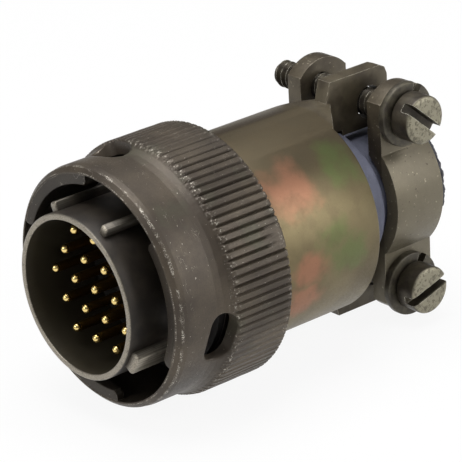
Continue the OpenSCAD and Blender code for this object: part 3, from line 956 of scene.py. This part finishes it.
def head_solid(name, x0, z, slot_angle):
    """A cheese head with a rounded rim and a worn slot."""
    outline = fillet(
        [(0.0, 0.2, 0), (0.0, HEAD_R, 0.15), (HEAD_H - 0.12, HEAD_R, 0.32), (HEAD_H, HEAD_R - 0.5, 0.5), (HEAD_H + 0.02, 0.2, 0)],
        5,
    )
    steps = 96
    vertices = []
    for j in range(steps):
        c, s = math.cos(TAU * j / steps), math.sin(TAU * j / steps)
        vertices += [(x0 + h, SCREW_Y + r * c, z + r * s) for h, r in outline]
    m = len(outline)
    faces = []
    for j in range(steps):
        a, b = j * m, ((j + 1) % steps) * m
        faces += [(a + i, a + i + 1, b + i + 1, b + i) for i in range(m - 1)]
    faces.append(tuple(j * m for j in range(steps)))
    faces.append(tuple(j * m + m - 1 for j in range(steps)))
    head = make_object(name, vertices, faces)
    half, deep = 0.525, 1.35
    section = fillet([(-half, -deep, 0.12), (half, -deep, 0.12), (half, 0.5, 0), (-half, 0.5, 0)], 3)
    a = math.radians(slot_angle)
    rings = []
    for t in (-4, 4):
        ring = []
        for w, d in section:
            y, zz = t * math.cos(a) - w * math.sin(a), t * math.sin(a) + w * math.cos(a)
            ring.append((x0 + HEAD_H + d, SCREW_Y + y, z + zz))
        rings.append(ring)
    cut(head, loft(name + "_slot", rings))
    return head


def build_screws():
    for label, sign, slot_angle in (("upper", 1, -41), ("lower", -1, 16)):
        node = f"clamp_screw_{label}"
        low, high = node_box(node)
        z = sign * SCREW_Z
        head = head_solid("head", high[0] - HEAD_H, z, slot_angle)
        shank = thread_solid("shank", low[0], high[0] - HEAD_H + 0.3, z)
        screw = join(f"clamp_screw_{label}_dressed", [head, shank])
        sharpen(screw, 35)
        bevel = screw.modifiers.new("round", "BEVEL")
        bevel.width = 0.05 * MM
        bevel.segments = 2
        bevel.limit_method = "ANGLE"
        bevel.angle_limit = math.radians(60)
        apply_modifiers(screw)
        place(screw, f"screw_{label}", "screw_steel", screw_finish, node)


build_screws()


def build_washers():
    """Split spring washers: one turn of a rounded bar, its ends apart."""
    for label, sign, clock in (("upper", 1, 62), ("lower", -1, 62)):
        z = sign * SCREW_Z
        inner = SCREW_R + 0.1
        thick = 0.86
        spread = (HEAD_X - EAR_OUT_X) - thick - 0.02
        steps = 80
        arc = 344
        section = fillet(
            [(0, inner, 0.1), (thick, inner, 0.1), (thick, WASHER_R, 0.16), (0, WASHER_R, 0.16)], 3
        )
        rings = []
        for k in range(steps + 1):
            w = k / steps
            a = math.radians(clock + 8 + arc * w)
            lift = spread * w
            rings.append(
                [
                    (EAR_OUT_X + 0.01 + lift + h, SCREW_Y + r * math.cos(a), z + r * math.sin(a))
                    for h, r in section
                ]
            )
        washer = loft(f"lock_washer_{label}_dressed", rings)
        sharpen(washer, 45)
        place(washer, "clamp", "washer_steel", washer_finish, f"lock_washer_{label}")


build_washers()


# ---- CAD nodes that stay as they are ----


def finish_node(node, material):
    obj = frame["nodes"][node]
    obj.data.materials.clear()
    obj.data.materials.append(material)


finish_node("insulator", insert_finish)
finish_node("front_seal", seal_finish)
finish_node("grommet", seal_finish)
for name in ("wave_spring", "thrust_washer", "retaining_clip", "ferrule"):
    finish_node(name, spring_finish)


# ---- Floor, light and camera ----


def build_stage():
    low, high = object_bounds()
    floor = make_object(
        "floor",
        [(-4000, -4000, 0), (4000, -4000, 0), (4000, 4000, 0), (-4000, 4000, 0)],
        [(0, 1, 2, 3)],
        smooth=False,
    )
    floor.location = (0, 0, cad_box[0][2] - 0.00005)
    m = bpy.data.materials.new("pale_floor")
    m.use_nodes = True
    t = m.node_tree
    t.nodes.clear()
    out = t.nodes.new("ShaderNodeOutputMaterial")
    diffuse = t.nodes.new("ShaderNodeBsdfDiffuse")
    diffuse.inputs[0].default_value = (0.9, 0.9, 0.9, 1)
    glow = t.nodes.new("ShaderNodeEmission")
    glow.inputs[0].default_value = (1, 1, 1, 1)
    glow.inputs[1].default_value = 0.97
    path = t.nodes.new("ShaderNodeLightPath")
    share = t.nodes.new("ShaderNodeMath")
    share.operation = "MULTIPLY"
    share.inputs[1].default_value = 0.94
    either = t.nodes.new("ShaderNodeMath")
    either.operation = "MAXIMUM"
    t.links.new(path.outputs["Is Camera Ray"], either.inputs[0])
    t.links.new(path.outputs["Is Glossy Ray"], either.inputs[1])
    t.links.new(either.outputs[0], share.inputs[0])
    mix = t.nodes.new("ShaderNodeMixShader")
    t.links.new(share.outputs[0], mix.inputs[0])
    t.links.new(diffuse.outputs[0], mix.inputs[1])
    t.links.new(glow.outputs[0], mix.inputs[2])
    t.links.new(mix.outputs[0], out.inputs[0])
    floor.data.materials.append(m)


def build_world():
    world = bpy.data.worlds.new("studio")
    bpy.context.scene.world = world
    world.use_nodes = True
    t = world.node_tree
    t.nodes.clear()
    out = t.nodes.new("ShaderNodeOutputWorld")
    seen = t.nodes.new("ShaderNodeBackground")
    seen.inputs[0].default_value = (1, 1, 1, 1)
    around = t.nodes.new("ShaderNodeBackground")
    direction = t.nodes.new("ShaderNodeTexCoord").outputs["Generated"]
    split = t.nodes.new("ShaderNodeSeparateXYZ")
    t.links.new(direction, split.inputs[0])
    ramp = t.nodes.new("ShaderNodeValToRGB")
    span = t.nodes.new("ShaderNodeMapRange")
    span.inputs["From Min"].default_value = -1
    t.links.new(split.outputs[2], span.inputs[0])
    t.links.new(span.outputs[0], ramp.inputs[0])
    stops = ramp.color_ramp.elements
    stops[0].position = 0.0
    stops[0].color = (0.8, 0.8, 0.8, 1)
    stops[1].position = 1.0
    stops[1].color = (0.85, 0.85, 0.85, 1)
    for place_at, level in ((0.5, 0.16), (0.62, 0.12), (0.82, 0.4)):
        stop = stops.new(place_at)
        stop.color = (level, level, level, 1)
    t.links.new(ramp.outputs[0], around.inputs[0])
    around.inputs[1].default_value = 0.8
    path = t.nodes.new("ShaderNodeLightPath")
    mix = t.nodes.new("ShaderNodeMixShader")
    t.links.new(path.outputs["Is Camera Ray"], mix.inputs[0])
    t.links.new(around.outputs[0], mix.inputs[1])
    t.links.new(seen.outputs[0], mix.inputs[2])
    t.links.new(mix.outputs[0], out.inputs[0])


def area_lamp(name, where, target, size, power):
    light = bpy.data.lights.new(name, "AREA")
    light.shape = "RECTANGLE"
    light.size, light.size_y = size
    light.energy = power
    lamp = bpy.data.objects.new(name, light)
    bpy.context.scene.collection.objects.link(lamp)
    lamp.location = where
    aim = Vector(target) - Vector(where)
    lamp.rotation_euler = aim.to_track_quat("-Z", "Y").to_euler()
    return lamp


def build_camera():
    camera = bpy.data.objects.new("camera", bpy.data.cameras.new("camera"))
    bpy.context.scene.collection.objects.link(camera)
    forward = Vector((-0.70901, 0.58821, -0.38900)).normalized()
    right = Vector((0.65445, 0.75430, -0.05224))
    right = (right - forward * right.dot(forward)).normalized()
    up = right.cross(forward)
    turn = Matrix((right, up, -forward)).transposed().to_4x4()
    camera.matrix_world = Matrix.Translation(Vector((0.2236, -0.16416, 0.12336))) @ turn
    camera.data.sensor_width = 36
    camera.data.lens = 229.87
    camera.data.clip_start = 0.01
    camera.data.clip_end = 20
    bpy.context.scene.camera = camera


build_stage()
build_world()
centre = (0, 0.02, 0)
area_lamp("lamp_top", (-0.05, 0.0, 0.45), centre, (0.35, 0.35), 2.6)
area_lamp("lamp_right", (0.30, 0.25, 0.15), centre, (0.2, 0.3), 0.9)
area_lamp("lamp_left", (-0.1, -0.4, 0.2), centre, (0.3, 0.2), 0.7)
build_camera()
bpy.context.scene.view_settings.view_transform = "Standard"
